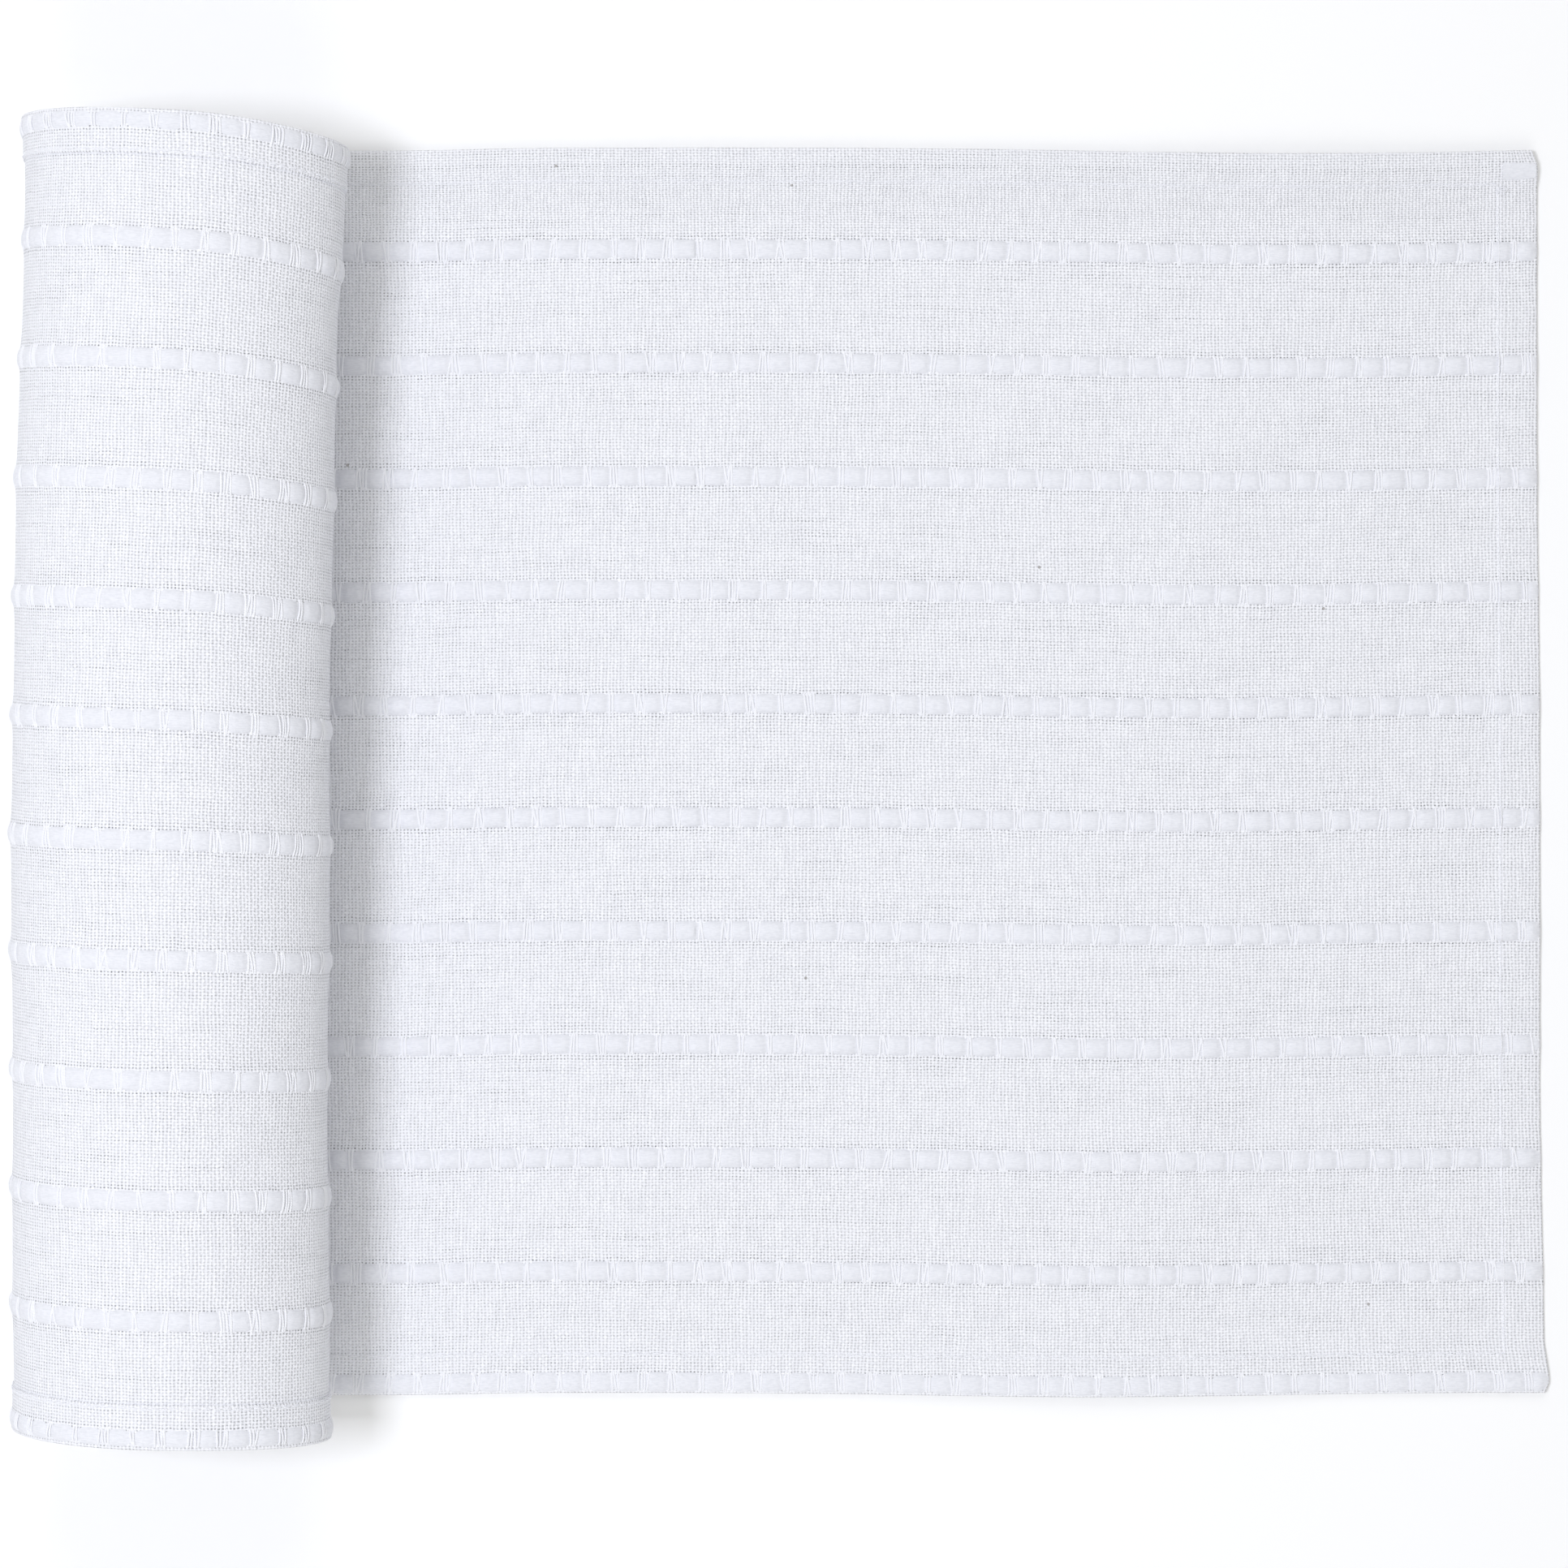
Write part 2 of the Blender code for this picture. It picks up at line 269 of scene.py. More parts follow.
def sideways(u, w, turn):
    """Place across the table: the roll's own place, the flat stretch's shift, bow and deeper hem."""
    rolled = 1 - np.clip(1 - 2 * turn, 0, 1) ** 2.5
    x = END_X - u
    bow = BOW * hill((x - 0.118 - 0.17 * w) / 0.072) * (0.8 + 1.0 * w)
    near_roll = 0.0008 * smooth((-0.06 - x) / 0.06)
    tuck = BACK_TUCK * smooth((w - 0.150) / (HALF_WIDTH - 0.150))
    flat = SIDE_SHIFT - bow - near_roll - tuck
    back = smooth((w + 0.05) / 0.23)
    swing = np.sin(FULL_TURN * turn)
    drift = (0.0010 + 0.0018 * back) * np.maximum(swing, 0)
    drift = drift - (0.0019 + 0.0036 * back) * np.maximum(-swing, 0) ** 1.5
    drift = drift * (1 - turn / 14) + 0.0006 * np.sin(5.3 * turn) * smooth(turn - 1)
    return w + flat * (1 - rolled) + drift


def roll_lean(w, turn):
    """The roll is not quite square to the cloth: it leans to the right at its back end."""
    right_side = np.maximum(-np.sin(FULL_TURN * turn), 0)
    whole = 0.0004 + 0.0034 * smooth((w + 0.03) / 0.21) ** 2
    end = 0.0004 + 0.0014 * smooth((w - 0.12) / 0.05)
    return smooth(turn * 4) * (whole + end * right_side)


def lift(u, w, turn):
    """Height above the cloth's plain path: ripple, sag between yarns, hems and the free end."""
    rolled = smooth(turn * 4)
    x = END_X - u
    ripple = RIPPLE * hill((x - 0.122 - 0.17 * w) / 0.050)
    ripple = ripple + 0.0005 * hill((x + 0.035 - 0.1 * w) / 0.045)
    uneven = 0.00014 * np.sin(88 * x + 21 * w) * np.sin(61 * w + 1.3)
    uneven = uneven + 0.0001 * np.sin(137 * x - 43 * w + 0.7)
    sag = SAG * (1 - hill(from_yarn(w) / 0.0045))
    hem = HEM_RISE * smooth((np.abs(w) - HALF_WIDTH + HEM_WIDTH + 0.0008) / 0.0016)
    end = END_LIFT * smooth((HEM_WIDTH + 0.003 - u) / 0.004)
    back = BACK_RISE * smooth((w - HALF_WIDTH + 0.011) / 0.004)
    flat = ripple + uneven - sag + hem + end + back
    soft = 0.00025 * np.sin(23 * w + 9 * turn) + 0.0002 * np.sin(57 * w - 12 * turn)
    outer = smooth(2 - turn)
    return flat * (1 - rolled) + rolled * outer * (sag * 1.2 - soft)


def place(u, w, n):
    """World points of the cloth's own coordinates: length u, width w, height n above its middle.

    Before the free end the cloth turns under round a half circle and runs back beneath itself. The
    path then gives the point, its upper side gives the height's direction, and the ways in which
    the cloth lies are added.
    """
    u, w, n = np.broadcast_arrays(u, w, n)
    past = np.maximum(-u, 0)
    angle = np.clip(past / FOLD_RADIUS, 0, math.pi)
    back = np.maximum(past - math.pi * FOLD_RADIUS, 0)
    along = np.maximum(u, 0) - FOLD_RADIUS * np.sin(angle) + back - n * np.sin(angle)
    height = n * np.cos(angle) - FOLD_RADIUS * (1 - np.cos(angle))
    x, z, nx, nz, turn = path(along)
    height = height + lift(along, w, turn)
    front = smooth((-0.085 - w) / (HALF_WIDTH - 0.085))
    corner = smooth((-0.165 - w) / (HALF_WIDTH - 0.165))
    flare = 0.0013 * front + 0.0016 * corner - 0.0009 * smooth(w / 0.1)
    flare = flare * np.exp(-np.maximum(along, 0) / FLARE_REACH)
    flare = flare - 0.0016 * smooth((w - HALF_WIDTH + 0.005) / 0.005) * smooth((0.012 - along) / 0.012)
    flare = flare - 0.0014 * smooth((-w - HALF_WIDTH + 0.0035) / 0.0035) * smooth((0.006 - along) / 0.006)
    y = sideways(along, w, turn)
    x = x + height * nx + flare * (turn == 0) + roll_lean(w, turn)
    return np.stack([x, y, z + height * nz], -1)


print("left side of the roll:", place(FLAT_LENGTH + spiral_length[TURN_STEPS // 4], 0.0, 0.0).round(4))

# %% [markdown]
# ## From arrays to meshes
#
# Every piece is a grid of points: rows along the piece, columns round its section. The faces follow
# from the counts alone, so no loop over points is needed. The grid's own coordinates on the unrolled
# cloth are kept as the UV map, in metres, and the materials draw the weave with them.

# %% Mesh helpers
SEAM_U = END_X - SEAM_X
SHARP_ANGLE = math.radians(65)
TUBE_SIDES = 6              # of a tie thread or a stitch


def tube_faces(tubes, rows, columns):
    """Quads round each tube and one cap at each end, for tubes that lie one after another."""
    base = np.arange(tubes)[:, None, None] * rows * columns
    i, j = np.arange(rows - 1)[None, :, None], np.arange(columns)[None, None, :]
    k = (j + 1) % columns
    quads = np.stack([base + i * columns + j, base + i * columns + k,
                      base + (i + 1) * columns + k, base + (i + 1) * columns + j], -1)
    ring = np.arange(columns)[None, :]
    first = np.arange(tubes)[:, None] * rows * columns + ring[:, ::-1]
    last = np.arange(tubes)[:, None] * rows * columns + (rows - 1) * columns + ring
    return quads.reshape(-1, 4), np.concatenate([first, last])


def make_piece(name, cloth_points, material):
    """A mesh of one or more closed tubes, given on the unrolled cloth as (tube, row, column, 3)."""
    tubes, rows, columns = cloth_points.shape[:3]
    flat_points = cloth_points.reshape(-1, 3)
    points = place(*flat_points.T)
    quads, caps = tube_faces(tubes, rows, columns)
    mesh = bpy.data.meshes.new(name)
    mesh.from_pydata(points.tolist(), [], quads.tolist() + caps.tolist())
    corners = np.zeros(len(mesh.loops), np.int32)
    mesh.loops.foreach_get("vertex_index", corners)
    uv = mesh.uv_layers.new(name="cloth")
    uv.data.foreach_set("uv", flat_points[corners, :2].astype(np.float32).ravel())
    mesh.shade_smooth()
    mesh.set_sharp_from_angle(angle=SHARP_ANGLE)
    mesh.materials.append(material)
    piece = bpy.data.objects.new(name, mesh)
    bpy.context.scene.collection.objects.link(piece)
    return piece


def carried_ring(paths, wide, thick, sides):
    """A flattened round section carried along paths on the unrolled cloth, given as (tube, row, 3).

    The section stands square to the path: its side is the path's direction crossed with the
    height, and its top is the side crossed with the direction.
    """
    along = np.gradient(paths, axis=1)
    along /= np.linalg.norm(along, axis=-1, keepdims=True)
    side = np.cross(along, [0.0, 0.0, 1.0])
    side /= np.linalg.norm(side, axis=-1, keepdims=True)
    top = np.cross(side, along)
    theta = np.arange(sides) * FULL_TURN / sides
    wide_part = wide * np.cos(theta)[:, None] * side[..., None, :]
    return paths[..., None, :] + wide_part + thick * np.sin(theta)[:, None] * top[..., None, :]


# %% [markdown]
# ## Materials
#
# Cotton is matt, so its look is all in the weave: fine threads both ways with tiny holes where four
# threads meet, painted dark with the shade that shows through them. A small class wraps a node
# socket so that shader maths can be written as ordinary expressions. The weave is drawn with the UV
# map, so it follows the cloth round the roll.

# %% Node helpers


class Value:
    """A socket that can be used in expressions; each operator adds a Math node."""

    def __init__(self, shade, socket):
        self.shade, self.socket = shade, socket

    def maths(self, operation, *others, first=None):
        values = [first if first is not None else self, *others]
        return self.shade.node("Math", {"operation": operation}, dict(enumerate(values)))

    def __add__(self, other):
        return self.maths("ADD", other)

    def __sub__(self, other):
        return self.maths("SUBTRACT", other)

    def __mul__(self, other):
        return self.maths("MULTIPLY", other)

    def __truediv__(self, other):
        return self.maths("DIVIDE", other)

    def __pow__(self, other):
        return self.maths("POWER", other)

    def __rsub__(self, other):
        return self.maths("SUBTRACT", self, first=other)

    __radd__, __rmul__ = __add__, __mul__

    def cos(self):
        return self.maths("COSINE")

    def less(self, other):
        return self.maths("LESS_THAN", other)

    def more(self, other):
        return self.maths("GREATER_THAN", other)

    def absolute(self):
        return self.maths("ABSOLUTE")

    def part(self):
        """The part after the whole number."""
        return self.maths("FRACT")

    def between(self, low, high):
        """0 below low, 1 above high, and smooth between."""
        return self.shade.node("MapRange", {"interpolation_type": "SMOOTHSTEP"},
                               {"Value": self, "From Min": low, "From Max": high})


class Shade:
    """One material and its nodes."""

    def __init__(self, name, roughness, sheen):
        self.material = bpy.data.materials.new(name)
        self.material.use_nodes = True
        self.tree = self.material.node_tree
        self.shader = self.tree.nodes["Principled BSDF"]
        self.shader.inputs["Roughness"].default_value = roughness
        self.shader.inputs["Specular IOR Level"].default_value = 0.25
        self.shader.inputs["Sheen Weight"].default_value = sheen
        self.shader.inputs["Sheen Roughness"].default_value = 0.5

    def node(self, kind, settings, inputs, output=0):
        """Any node: its settings first, then the values or links of its inputs."""
        node = self.tree.nodes.new("ShaderNode" + kind)
        for key, value in settings.items():
            setattr(node, key, value)
        for key, value in inputs.items():
            self.join(node.inputs[key], value)
        return Value(self, node.outputs[output])

    def join(self, socket, value):
        if isinstance(value, Value):
            self.tree.links.new(value.socket, socket)
        else:
            socket.default_value = value

    def cloth_uv(self):
        uv = self.node("UVMap", {"uv_map": "cloth"}, {})
        return [self.node("SeparateXYZ", {}, {0: uv}, output=i) for i in (0, 1)]

    def noise(self, u, v, detail=2.0):
        """Noise between 0 and 1 at a place (u, v), which is scaled beforehand."""
        at = self.node("CombineXYZ", {}, {"X": u, "Y": v})
        return self.node("TexNoise", {}, {"Vector": at, "Scale": 1.0, "Detail": detail})

    def mix(self, factor, first, second):
        """The first colour at factor 0, the second at 1."""
        return self.node("Mix", {"data_type": "RGBA"}, {0: factor, 6: first, 7: second}, output=2)

    def finish(self, colour, height, depth):
        self.join(self.shader.inputs["Base Color"], colour)
        bump = self.node("Bump", {}, {"Height": height, "Distance": depth, "Strength": 1.0})
        self.join(self.shader.inputs["Normal"], bump)
        return self.material


# %% Ground cloth: plain weave with painted shade in its small holes, and uneven threads
GROUND_WHITE = (0.935, 0.940, 0.980, 1)
GROUND_GREY = (0.860, 0.866, 0.910, 1)
# painted shade: the dark that shows through the weave's holes
HOLE_SHADE = (0.16, 0.165, 0.17, 1)
SEED_BROWN = (0.20, 0.17, 0.14, 1)
SEED_CELLS = 14             # cells along a metre, each of which may hold one seed speck
SEED_RADIUS = 0.0062        # in cells
SEED_MISSING = 0.68         # share of the cells without one
WEAVE_DEPTH = 0.00022


def ground_material():
    shade = Shade("ground_cotton", 0.95, 0.10)
    u, v = shade.cloth_uv()
    wander = (shade.noise(u * 60, v * 60, 1.0) - 0.5) * 0.0010
    wander = wander + (shade.noise(u * 500, v * 300, 0.0) - 0.5) * 0.0004
    u_thread, v_thread = (u + wander) / WARP_PITCH, (v + wander * 0.8) / WEFT_PITCH
    hole = (0.5 - 0.5 * (u_thread * FULL_TURN).cos()) * (0.5 - 0.5 * (v_thread * FULL_TURN).cos())
    crossing = (u_thread * math.pi).cos() * (v_thread * math.pi).cos()
    # painted shade: how dark the holes are, varying in rows and patches, stronger beside the yarns
    rows = shade.noise(u * 26, v * 640).between(0.42, 0.68)
    patches = shade.noise(u * 60 + 7, v * 120).between(0.30, 0.70)
    inner = ((v / YARN_PITCH).part() - 0.5).absolute() * YARN_PITCH
    beside = (1 - inner.between(0.0036, 0.0050)) * inner.more(0.0027)
    cell = shade.noise(u * 1500, v * 1500, 0.0).between(0.32, 0.68)
    strength = (0.45 + 0.55 * cell) * (0.42 + 0.50 * rows * patches + 0.35 * beside)
    over = crossing.between(-0.25, 0.25)
    weft_tone = shade.noise(u * 130, v * 1160, 1.0).between(0.30, 0.66)
    warp_tone = shade.noise(u * 1000, v * 130, 1.0).between(0.30, 0.66)
    tone = weft_tone * over + warp_tone * (1 - over)
    colour = shade.mix(tone, GROUND_GREY, GROUND_WHITE)
    # painted shade in the holes of the weave
    colour = shade.mix(hole ** 1.4 * strength, colour, HOLE_SHADE)
    at = shade.node("CombineXYZ", {}, {"X": u * SEED_CELLS, "Y": v * SEED_CELLS})
    cells = {"voronoi_dimensions": "2D", "feature": "F1"}
    speck = shade.node("TexVoronoi", cells, {"Vector": at, "Scale": 1.0})
    pick = shade.node("TexVoronoi", cells, {"Vector": at, "Scale": 1.0}, output=1)
    chance = shade.node("SeparateColor", {}, {0: pick})
    seed = speck.less(SEED_RADIUS) * chance.more(SEED_MISSING)
    colour = shade.mix(seed * 0.6, colour, SEED_BROWN)
    height = (1 - hole) + 0.3 * crossing + 0.4 * tone
    return shade.finish(colour, height, WEAVE_DEPTH)


ground = ground_material()

# %% Roving and thin threads
ROVING_WHITE = (0.835, 0.842, 0.885, 1)
ROVING_GREY = (0.765, 0.774, 0.820, 1)
THREAD_WHITE = (0.925, 0.930, 0.965, 1)
FLUFF_DEPTH = 0.00025
TWIST_DEPTH = 0.00005
TWIST_PITCH = 0.0007


def roving_material():
    shade = Shade("cotton_roving", 0.95, 0.15)
    u, v = shade.cloth_uv()
    fibre = shade.noise(u * 500 + v * 200, v * 3200, 2.0)
    soft = shade.noise(u * 900, v * 900, 2.0)
    fluff = fibre * 0.6 + soft * 0.4
    colour = shade.mix(fluff.between(0.34, 0.62), ROVING_GREY, ROVING_WHITE)
    return shade.finish(colour, fluff, FLUFF_DEPTH)


def thread_material(name, white):
    shade = Shade(name, 0.9, 0.1)
    u, v = shade.cloth_uv()
    twist = 0.5 + 0.5 * ((u + v) * (FULL_TURN / TWIST_PITCH)).cos()
    tone = shade.noise(u * 300, v * 300, 1.0)
    colour = shade.mix(twist * 0.2 + tone * 0.2, white, ROVING_GREY)
    return shade.finish(colour, twist, TWIST_DEPTH)


roving = roving_material()
tie_cotton = thread_material("tie_cotton", THREAD_WHITE)
sewing_cotton = thread_material("sewing_cotton", THREAD_WHITE)

# %% [markdown]
# ## The ground cloth
#
# The cloth is a closed thin shell. Its section across the width is one line: in from one turned
# hem, round the fold, over the whole width, round the other fold and in again. The line is given a
# thickness by moving it to both sides of itself. The same section is carried along the length.

# %% Section of the cloth


def hem_arc(side, steps=5):
    """Half circle from the turned layer up to the cloth, at one side fold."""
    radius = HEM_GAP / 2
    theta = np.linspace(-math.pi / 2, math.pi / 2, steps)
    w = side * (HALF_WIDTH - radius + radius * np.cos(theta))
    return np.stack([w, radius * np.sin(theta) - radius], -1)


def cloth_section(spacing):
    """Closed outline of the cloth across its width: the middle line moved by half the thickness."""
    straight = HALF_WIDTH - HEM_GAP / 2
    stitch = HALF_WIDTH - HEM_WIDTH
    turned = np.linspace(stitch, straight, 7)[:-1]
    open_cloth = np.arange(-straight + spacing, straight - spacing / 2, spacing)
    hem_edge = stitch + np.array([-0.001, 0, 0.0005, 0.001, 0.0015])
    near_hem = np.concatenate([-hem_edge, hem_edge])
    open_cloth = np.unique(np.round(np.concatenate([open_cloth, near_hem]), 5))
    line = np.concatenate([
        np.stack([-turned, np.full(6, -HEM_GAP)], -1), hem_arc(-1),
        np.stack([open_cloth, np.zeros_like(open_cloth)], -1), hem_arc(1)[::-1],
        np.stack([turned[::-1], np.full(6, -HEM_GAP)], -1)])
    along = np.gradient(line, axis=0)
    along /= np.linalg.norm(along, axis=-1, keepdims=True)
    out = np.stack([-along[:, 1], along[:, 0]], -1) * CLOTH_THICK / 2
    return np.concatenate([line + out, (line - out)[::-1]])


def make_cloth(name, lengths, spacing):
    """The section carried along the given lengths of cloth."""
    section = cloth_section(spacing)
    grid = np.empty((1, len(lengths), len(section), 3))
    grid[..., 0] = lengths[:, None]
    grid[..., 1:] = section
    return make_piece(name, grid, ground)


OUTER_TURNS = 1.30          # how far round the roll the finely made outer piece goes
CLOTH_STEP = 0.0025         # between the cloth's points, both ways
WOUND_STEP = 0.004          # inside the roll, along the cloth
WOUND_SPACING = 0.012       # and across it
OUTER_U = FLAT_LENGTH + float(np.interp(OUTER_TURNS, many_turns, spiral_length))
hem_fold = -FOLD_RADIUS * np.array([math.pi, 2.4, 1.6, 0.8])
end_lengths = np.concatenate([[-HEM_WIDTH, -0.008, -0.004], hem_fold])
free_lengths = np.concatenate([end_lengths, np.arange(0, SEAM_U, CLOTH_STEP), [SEAM_U]])
outer_lengths = np.concatenate([np.arange(SEAM_U, OUTER_U, CLOTH_STEP), [OUTER_U]])
wound_lengths = np.concatenate([np.arange(OUTER_U, CLOTH_LENGTH, WOUND_STEP), [CLOTH_LENGTH]])

cloth_free = make_cloth("cloth_free_end", free_lengths, CLOTH_STEP)
cloth_outer = make_cloth("cloth_outer_turn", outer_lengths, CLOTH_STEP)
cloth_wound = make_cloth("cloth_wound", wound_lengths, WOUND_SPACING)
print("faces:", [len(o.data.polygons) for o in (cloth_free, cloth_outer, cloth_wound)])

# %% [markdown]
# ## The thick yarns
#
# Each yarn is a soft, hardly twisted roving. Small groups of cloth threads tie it down at even
# distances, and between the ties it puffs up into round-cornered blocks on both faces. One closed
# tube makes a yarn: its height and width swell and shrink with the distance to the nearest tie.

# %% Ties and blocks
YARN_ROWS = [(i - 4.5) * YARN_PITCH for i in range(10)]
EDGE_ROW = HALF_WIDTH - YARN_HALF - 0.0001
ROWS = [-EDGE_ROW, *YARN_ROWS, EDGE_ROW]
BLOCK_TOP = 0.00128         # the yarn's height between two ties
TIE_TOP = 0.00052           # and under a tie
EDGE_FLATTER = 0.75         # the yarns in the side folds are pulled flatter
TIE_SPREAD = 0.00035        # how far a tie is off its even step
PUFF_SPREAD = 0.07          # how much the blocks differ in height
SWELL_START = 0.0011        # from a tie to where the yarn starts to swell
SWELL_RUN = 0.0014          # and on to its full height
MOST_TIES = 4               # threads in one group


def tie_places(row):
    """Lengths at which a yarn is tied down: even steps, each a little off, the same every run."""
    random = np.random.default_rng(100 + row)
    count = int((CLOTH_LENGTH + 0.02) / BLOCK_PITCH)
    even = -0.010 + BLOCK_PITCH * (np.arange(count) + random.random())
    return even + random.normal(0, TIE_SPREAD, count), random


def yarn_height(row, u):
    """Upper and lower height and half width of a yarn, from its distance to the nearest tie."""
    ties, random = tie_places(row)
    puff = 1 + random.normal(0, PUFF_SPREAD, len(ties) + 1)
    nearest = np.abs(u[:, None] - ties[None, :]).min(1)
    block = puff[np.searchsorted(ties, u)]
    swell = smooth((nearest - SWELL_START) / SWELL_RUN) ** 0.6
    turn = turn_at(u)
    rolled = smooth(turn * 4)
    top = (TIE_TOP + (BLOCK_TOP - TIE_TOP) * swell) * block
    under = np.where(u < HEM_WIDTH + 0.002, 0.0003, 0.00085 * (0.75 + 0.25 * swell))
    low = under * (1 - rolled) + 0.75 * top * rolled
    at_fold = hill((u + FOLD_RADIUS) / 0.0014)
    top = np.where(u < 0, 0.0004, top) * (1 - 0.15 * rolled) * (1 - at_fold) + 0.00022 * at_fold
    if row in (0, len(ROWS) - 1):
        top, low = top * EDGE_FLATTER, low * EDGE_FLATTER + (HEM_GAP + 0.0001) * rolled
    half = YARN_HALF * (0.86 + 0.14 * swell) * (0.97 + 0.03 * block)
    return top, low, half


def yarn_tube(row, lengths, sides=14):
    """A wide low oval whose flanks run out softly: the sine is raised to a power above one."""
    theta = np.arange(sides) * FULL_TURN / sides
    across = np.cos(theta)
    up = np.sign(np.sin(theta)) * np.abs(np.sin(theta)) ** 1.25
    top, low, half = yarn_height(row, lengths)
    height = np.where(up > 0, top[:, None], low[:, None]) * up
    middle = np.full(len(lengths), ROWS[row])
    if row == len(ROWS) - 1:
        rolled = smooth(turn_at(lengths) * 3)
        middle = middle - 0.0035 * (1 - rolled)
        height = height * (0.6 + 0.4 * rolled)[:, None] - 0.0011 * (1 - rolled)[:, None]
    grid = np.empty((1, len(lengths), sides, 3))
    grid[0, :, :, 0] = lengths[:, None]
    grid[0, :, :, 1] = middle[:, None] + half[:, None] * across
    grid[0, :, :, 2] = height
    return grid


YARN_STEP = 0.0008          # between a yarn's rings
WOUND_YARN_STEP = 0.003     # inside the roll
free_yarn_u = np.concatenate([[-0.011, -0.006], hem_fold, np.arange(0, SEAM_U, YARN_STEP), [SEAM_U]])
outer_yarn_u = np.arange(SEAM_U, OUTER_U, YARN_STEP)
inner_yarn_u = np.arange(OUTER_U, CLOTH_LENGTH, WOUND_YARN_STEP)
wound_yarn_u = np.concatenate([outer_yarn_u, inner_yarn_u, [CLOTH_LENGTH + 0.0005]])
free_yarns, wound_yarns = [], []
for row in range(len(ROWS)):
    label = f"yarn_{row + 1:02d}"
    free_yarns.append(make_piece(label + "_free", yarn_tube(row, free_yarn_u), roving))
    wound_yarns.append(make_piece(label + "_wound", yarn_tube(row, wound_yarn_u), roving))
print("yarns:", len(ROWS), "faces in one:", len(wound_yarns[0].data.polygons))

# %% [markdown]
# ## The tie threads
#
# Two to four ordinary cloth threads cross the yarn at each tie, close together. They leave the
# cloth beside the yarn, climb over it and go down again. They are short thin tubes, all of one kind,
# so one mesh holds them all. Only those that can be seen are made: they stop a little over one turn
# into the roll, and the yarn inside the back fold has none on the flat stretch.

# %% Tie threads on both faces
TIE_SHAPE = np.array([-1.24, -1.08, -0.86, -0.45, 0.0, 0.45, 0.86, 1.08, 1.24])
TIE_CLIMB = np.array([0.20, 0.45, 0.80, 1.15, 1.28, 1.15, 0.80, 0.45, 0.20])
FOLD_SHAPE = np.array([-1.24, -1.08, -0.86, -0.45, 0.0, 0.45, 0.82, 1.02, 1.05])
FOLD_CLIMB = np.array([0.20, 0.45, 0.80, 1.15, 1.28, 1.12, 0.72, 0.20, -0.30])


def tie_paths(row, low_u, high_u, face):
    """Paths of a yarn's tie threads between two lengths, over its upper (1) or lower (-1) face."""
    ties, random = tie_places(row)
    counts = random.integers(2, MOST_TIES + 1, len(ties))
    slots = np.arange(MOST_TIES)[None, :] - (counts[:, None] - 1) / 2
    u = ties[:, None] + slots * TIE_PITCH + random.normal(0, 0.00006, slots.shape)
    lean = random.normal(0, 0.00022, slots.shape)
    shown = (np.arange(MOST_TIES)[None, :] < counts[:, None]) & (u > low_u) & (u < high_u)
    u, lean = u[shown], lean[shown]
    top, low, half = yarn_height(row, u)
    crest = top if face > 0 else low
    shape, climb = TIE_SHAPE, TIE_CLIMB
    if row in (0, len(ROWS) - 1):
        outward = -1 if row == 0 else 1
        shape, climb = outward * FOLD_SHAPE, FOLD_CLIMB
    paths = np.empty((len(u), len(TIE_SHAPE), 3))
    paths[..., 0] = u[:, None] + lean[:, None] * shape
    paths[..., 1] = ROWS[row] + half[:, None] * shape
    paths[..., 2] = face * (crest[:, None] * climb)
    return paths


def make_ties(name, ranges):
    """All tie threads of the given rows, lengths and faces, as one mesh of thin tubes."""
    paths = np.concatenate([tie_paths(*one) for one in ranges])
    tubes = carried_ring(paths, TIE_WIDTH, TIE_THICK, TUBE_SIDES)
    return make_piece(name, tubes, tie_cotton)


inner_rows = range(len(ROWS) - 1)
all_rows = range(len(ROWS))
free_ties = make_ties("ties_free", [(r, 0.001, SEAM_U, f) for r in inner_rows for f in (1, -1)])
wound_ties = make_ties("ties_wound", [(r, SEAM_U, FLAT_LENGTH, f) for r in inner_rows for f in (1, -1)]
                       + [(r, FLAT_LENGTH, OUTER_U, -1) for r in all_rows])
TIE_POINTS = len(TIE_SHAPE) * TUBE_SIDES
print("tie threads:", [len(o.data.vertices) // TIE_POINTS for o in (free_ties, wound_ties)])

# %% [markdown]
# ## The hems' stitches
#
# The hems are sewn down with a straight seam, one millimetre from the turned edge. Each stitch is a
# short thread that comes up, lies on the cloth and goes down again, and it shows on both faces. Like
# the ties, the stitches stop a little over one turn into the roll. The seam of the inner end, deep
# in the roll, is not made.

# %% Stitches
STITCH_LINE = HALF_WIDTH - HEM_WIDTH + 0.001
STITCH_RISE = np.array([-0.00030, 0.00006, 0.00014, 0.00014, 0.00006, -0.00030])
STITCH_ALONG = np.array([-0.00125, -0.00105, -0.0004, 0.0004, 0.00105, 0.00125])


def side_stitches(side, low_u, high_u, face):
    """Stitches along one side hem, on the upper face or on the turned layer below."""
    u = np.arange(low_u, high_u, STITCH_PITCH) + 0.0007 * (face < 0)
    surface = CLOTH_THICK / 2 if face > 0 else -HEM_GAP - CLOTH_THICK / 2
    paths = np.empty((len(u), 6, 3))
    paths[..., 0] = u[:, None] + STITCH_ALONG
    paths[..., 1] = side * STITCH_LINE + 0.00008 * np.sin(u[:, None] * 900)
    paths[..., 2] = surface + face * STITCH_RISE
    return paths


def end_stitches(face):
    """Stitches across the free end; they climb over the yarns that they cross."""
    w = np.arange(-STITCH_LINE + 0.0015, STITCH_LINE - 0.001, STITCH_PITCH)
    paths = np.empty((len(w), 6, 3))
    paths[..., 1] = w[:, None] + STITCH_ALONG
    over = 0.00098 * hill(from_yarn(paths[..., 1]) / 0.0026) if face > 0 else 0.0
    paths[..., 0] = HEM_WIDTH - 0.0013
    paths[..., 2] = CLOTH_THICK / 2 + over + STITCH_RISE
    if face < 0:
        paths[..., 0] = -HEM_WIDTH + 0.0013
    return paths


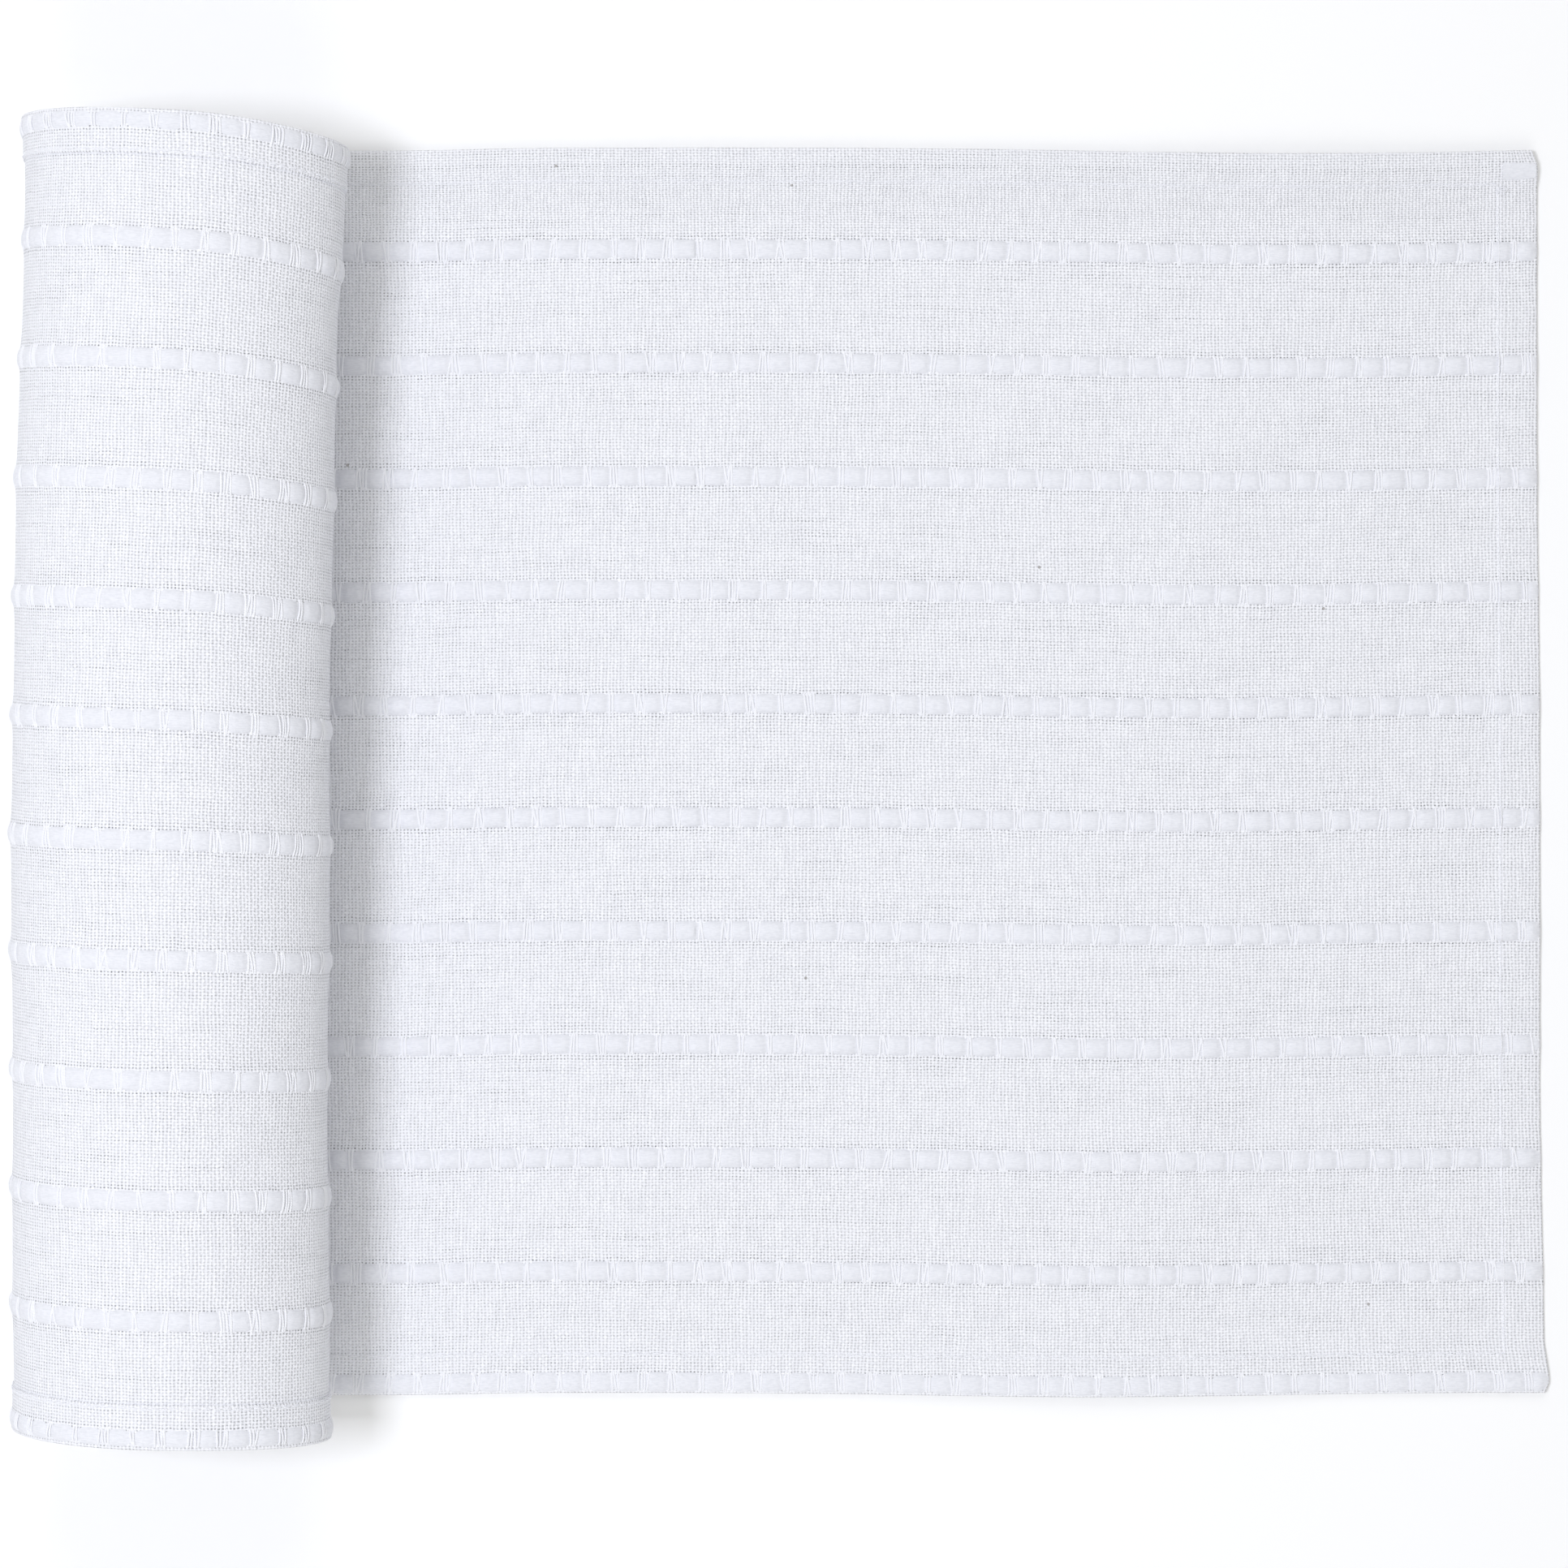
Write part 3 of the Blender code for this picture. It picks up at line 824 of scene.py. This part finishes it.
def thread_tail():
    """The end of the sewing thread: a short curl where the side seam meets the end seam."""
    curl = [(0.0122, 0.1668, 0.0001), (0.0106, 0.1674, 0.0008), (0.0090, 0.1664, 0.0011),
            (0.0082, 0.1676, 0.0010), (0.0094, 0.1686, 0.0009), (0.0104, 0.1680, 0.0004)]
    return np.array([curl])


def make_stitches(name, groups):
    """The stitches of all the given groups, as one mesh of thin tubes."""
    tubes = carried_ring(np.concatenate(groups), STITCH_RADIUS, STITCH_RADIUS, TUBE_SIDES)
    return make_piece(name, tubes, sewing_cotton)


SIDES_AND_FACES = [(side, face) for side in (-1, 1) for face in (1, -1)]
free_sides = [side_stitches(s, HEM_WIDTH, SEAM_U, f) for s, f in SIDES_AND_FACES]
wound_sides = [side_stitches(s, SEAM_U, OUTER_U, f) for s, f in SIDES_AND_FACES]
free_groups = free_sides + [end_stitches(1), end_stitches(-1), thread_tail()]
free_stitches = make_stitches("stitches_free", free_groups)
wound_stitches = make_stitches("stitches_wound", wound_sides)
STITCH_POINTS = len(STITCH_RISE) * TUBE_SIDES
print("stitches:", [len(o.data.vertices) // STITCH_POINTS for o in (free_stitches, wound_stitches)])

# %% [markdown]
# ## Where the pieces go
#
# The pieces on either side of the seam are baked where they are made and do not bend. The inner
# turns of the roll ride on it.

# %% Bodies and replaced parts
BEND_HALF = 0.014           # half the length of the bend zone at a joint


def bend(piece, x):
    x - BEND_HALF
    x + BEND_HALF
    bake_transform(piece)


for piece in [cloth_free, free_ties, free_stitches, *free_yarns]:
    bend(piece, DRAPE_X)
for piece in [cloth_outer, wound_ties, wound_stitches, *wound_yarns]:
    bend(piece, LIFT_X)
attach(cloth_wound, "roll")

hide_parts("cloth_end")
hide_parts("cloth_near")
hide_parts("cloth_roll")
for row in range(len(ROWS)):
    label = f"yarn_{row + 1:02d}"
    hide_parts(label + "_end")
    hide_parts(label + "_near", label + "_roll")
threads = [f"side_hem_thread_{side}_" for side in ("front", "back")]
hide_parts(*[t + "end" for t in threads], "end_hem_thread_outer")
# the inner end's thread goes with them, though none is made there
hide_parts(*[t + part for t in threads for part in ("near", "roll")],
            "end_hem_thread_inner")

# %% The cloth's flat sizes
SEAM_U + HEM_WIDTH
OUTER_U - SEAM_U
CLOTH_LENGTH - OUTER_U
